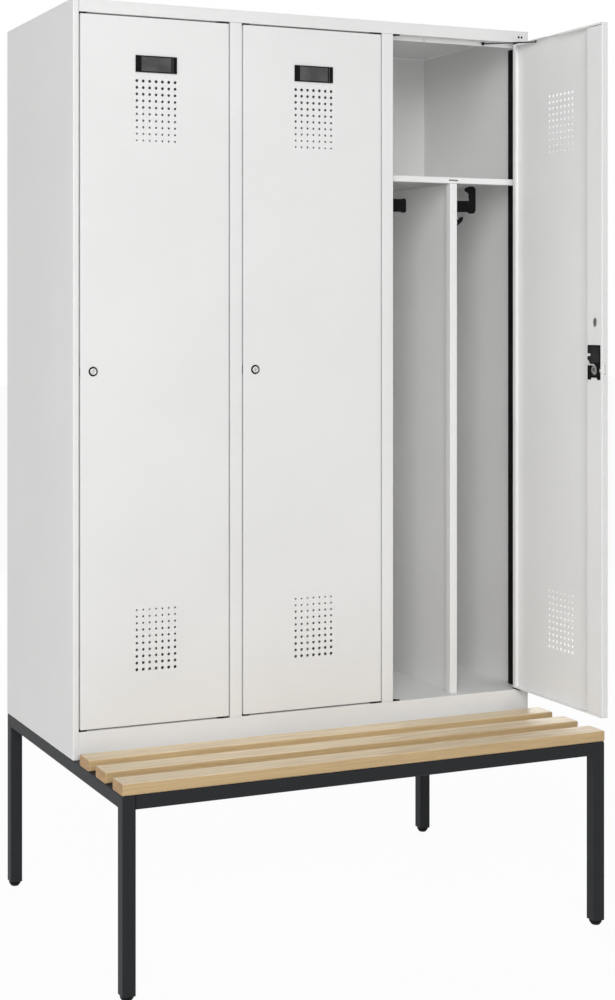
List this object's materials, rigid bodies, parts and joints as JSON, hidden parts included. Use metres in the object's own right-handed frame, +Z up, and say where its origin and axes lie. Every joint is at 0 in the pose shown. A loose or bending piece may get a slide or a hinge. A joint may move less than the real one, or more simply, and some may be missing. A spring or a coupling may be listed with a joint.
{
  "type": "locker with bench",
  "caption": "Steel cloakroom locker with hinged doors, hat shelves and hanging spaces, standing on a tube frame with a slatted wooden seat.",
  "frame": {"origin": "on the floor, under the middle of the footprint, with the right door standing open as in the picture", "axes": "+X to the right along the fronts, +Y from the front to the back, +Z up"},
  "size_m": [1.2, 0.8512, 2.127],
  "materials": {
    "light_grey_steel": "fine-textured powder coat, light grey, satin",
    "anthracite_steel": "fine-textured powder coat, anthracite, satin",
    "black_steel": "black coated round wire, satin",
    "black_plastic": "moulded black plastic, satin",
    "nickel": "nickel-plated, brushed by use",
    "wood": "clear-lacquered pale hardwood, satin"
  },
  "bodies": {
    "locker": {"left_side_panel": "light_grey_steel", "right_side_panel": "light_grey_steel", "left_partition": "light_grey_steel", "right_partition": "light_grey_steel", "top_panel": "light_grey_steel", "floor_tray": "light_grey_steel", "back_panel": "light_grey_steel", "hat_shelf_left": "light_grey_steel", "hat_shelf_middle": "light_grey_steel", "hat_shelf_right": "light_grey_steel", "divider_left": "light_grey_steel", "divider_middle": "light_grey_steel", "divider_right": "light_grey_steel", "coat_hook_1": "black_plastic", "coat_hook_2": "black_plastic", "coat_hook_3": "black_plastic", "coat_hook_4": "black_plastic", "coat_hook_5": "black_plastic", "coat_hook_6": "black_plastic", "hinge_cover_left": "black_plastic", "hinge_cover_middle": "black_plastic", "hinge_cover_right": "black_plastic", "end_frame_left": "anthracite_steel", "end_frame_right": "anthracite_steel", "front_rail": "anthracite_steel", "cross_rail": "anthracite_steel", "back_rail": "anthracite_steel", "bench_slat_front": "wood", "bench_slat_middle": "wood", "bench_slat_back": "wood", "foot_front_left": "black_plastic", "foot_front_right": "black_plastic", "foot_back_left": "black_plastic", "foot_back_right": "black_plastic"},
    "door_left": {"door_left": "light_grey_steel", "hinge_bush_top_left": "black_plastic", "hinge_bush_bottom_left": "black_plastic", "label_holder_left": "black_plastic", "lock_case_left": "black_plastic"},
    "lock_barrel_left": {"lock_barrel_left": "nickel"},
    "lock_bolt_left": {"lock_bolt_left": "nickel"},
    "stay_rod_left": {"stay_rod_left": "black_steel"},
    "door_middle": {"door_middle": "light_grey_steel", "hinge_bush_top_middle": "black_plastic", "hinge_bush_bottom_middle": "black_plastic", "label_holder_middle": "black_plastic", "lock_case_middle": "black_plastic"},
    "lock_barrel_middle": {"lock_barrel_middle": "nickel"},
    "lock_bolt_middle": {"lock_bolt_middle": "nickel"},
    "stay_rod_middle": {"stay_rod_middle": "black_steel"},
    "door_right": {"door_right": "light_grey_steel", "hinge_bush_top_right": "black_plastic", "hinge_bush_bottom_right": "black_plastic", "label_holder_right": "black_plastic", "lock_case_right": "black_plastic"},
    "lock_barrel_right": {"lock_barrel_right": "nickel"},
    "lock_bolt_right": {"lock_bolt_right": "nickel"},
    "stay_rod_right": {"stay_rod_right": "black_steel"}
  },
  "joints": [
    {"name": "door_left_hinge", "type": "hinge", "parent": "locker", "child": "door_left", "pos_m": [-0.22683, -0.06992, 0.4925], "axis": [0, 0, 1], "range_deg": [0, 90]},
    {"name": "lock_barrel_left_turn", "type": "hinge", "parent": "door_left", "child": "lock_barrel_left", "pos_m": [-0.5525, -0.07442, 1.2935], "axis": [0, -1, 0], "range_deg": [0, 90]},
    {"name": "lock_bolt_left_slide", "type": "slide", "parent": "door_left", "child": "lock_bolt_left", "axis": [-1, 0, 0], "range_m": [0, 0.0095]},
    {"name": "stay_rod_left_pivot", "type": "hinge", "parent": "door_left", "child": "stay_rod_left", "pos_m": [-0.30583, -0.06742, 2.0895], "axis": [0, 0, 1], "range_deg": [-131, 0]},
    {"name": "door_middle_hinge", "type": "hinge", "parent": "locker", "child": "door_middle", "pos_m": [0.17383, -0.06992, 0.4925], "axis": [0, 0, 1], "range_deg": [0, 90]},
    {"name": "lock_barrel_middle_turn", "type": "hinge", "parent": "door_middle", "child": "lock_barrel_middle", "pos_m": [-0.15183, -0.07442, 1.2935], "axis": [0, -1, 0], "range_deg": [0, 90]},
    {"name": "lock_bolt_middle_slide", "type": "slide", "parent": "door_middle", "child": "lock_bolt_middle", "axis": [-1, 0, 0], "range_m": [0, 0.0095]},
    {"name": "stay_rod_middle_pivot", "type": "hinge", "parent": "door_middle", "child": "stay_rod_middle", "pos_m": [0.09483, -0.06742, 2.0895], "axis": [0, 0, 1], "range_deg": [-131, 0]},
    {"name": "door_right_hinge", "type": "hinge", "parent": "locker", "child": "door_right", "pos_m": [0.5745, -0.06992, 0.4925], "axis": [0, 0, 1], "range_deg": [-90, 0]},
    {"name": "lock_barrel_right_turn", "type": "hinge", "parent": "door_right", "child": "lock_barrel_right", "pos_m": [0.579, -0.39558, 1.2935], "axis": [1, 0, 0], "range_deg": [0, 90]},
    {"name": "lock_bolt_right_slide", "type": "slide", "parent": "door_right", "child": "lock_bolt_right", "axis": [0, -1, 0], "range_m": [0, 0.0095]},
    {"name": "stay_rod_right_pivot", "type": "hinge", "parent": "door_right", "child": "stay_rod_right", "pos_m": [0.572, -0.14892, 2.0895], "axis": [0, 0, 1], "range_deg": [0, 131]}
  ],
  "couplings": [
    {"joint": "lock_bolt_left_slide", "follows": "lock_barrel_left_turn", "m_per_rad": 0.006047},
    {"joint": "stay_rod_left_pivot", "follows": "door_left_hinge", "ratio": -1.4517},
    {"joint": "lock_bolt_middle_slide", "follows": "lock_barrel_middle_turn", "m_per_rad": 0.006047},
    {"joint": "stay_rod_middle_pivot", "follows": "door_middle_hinge", "ratio": -1.4517},
    {"joint": "lock_bolt_right_slide", "follows": "lock_barrel_right_turn", "m_per_rad": 0.006047},
    {"joint": "stay_rod_right_pivot", "follows": "door_right_hinge", "ratio": -1.4517}
  ]
}
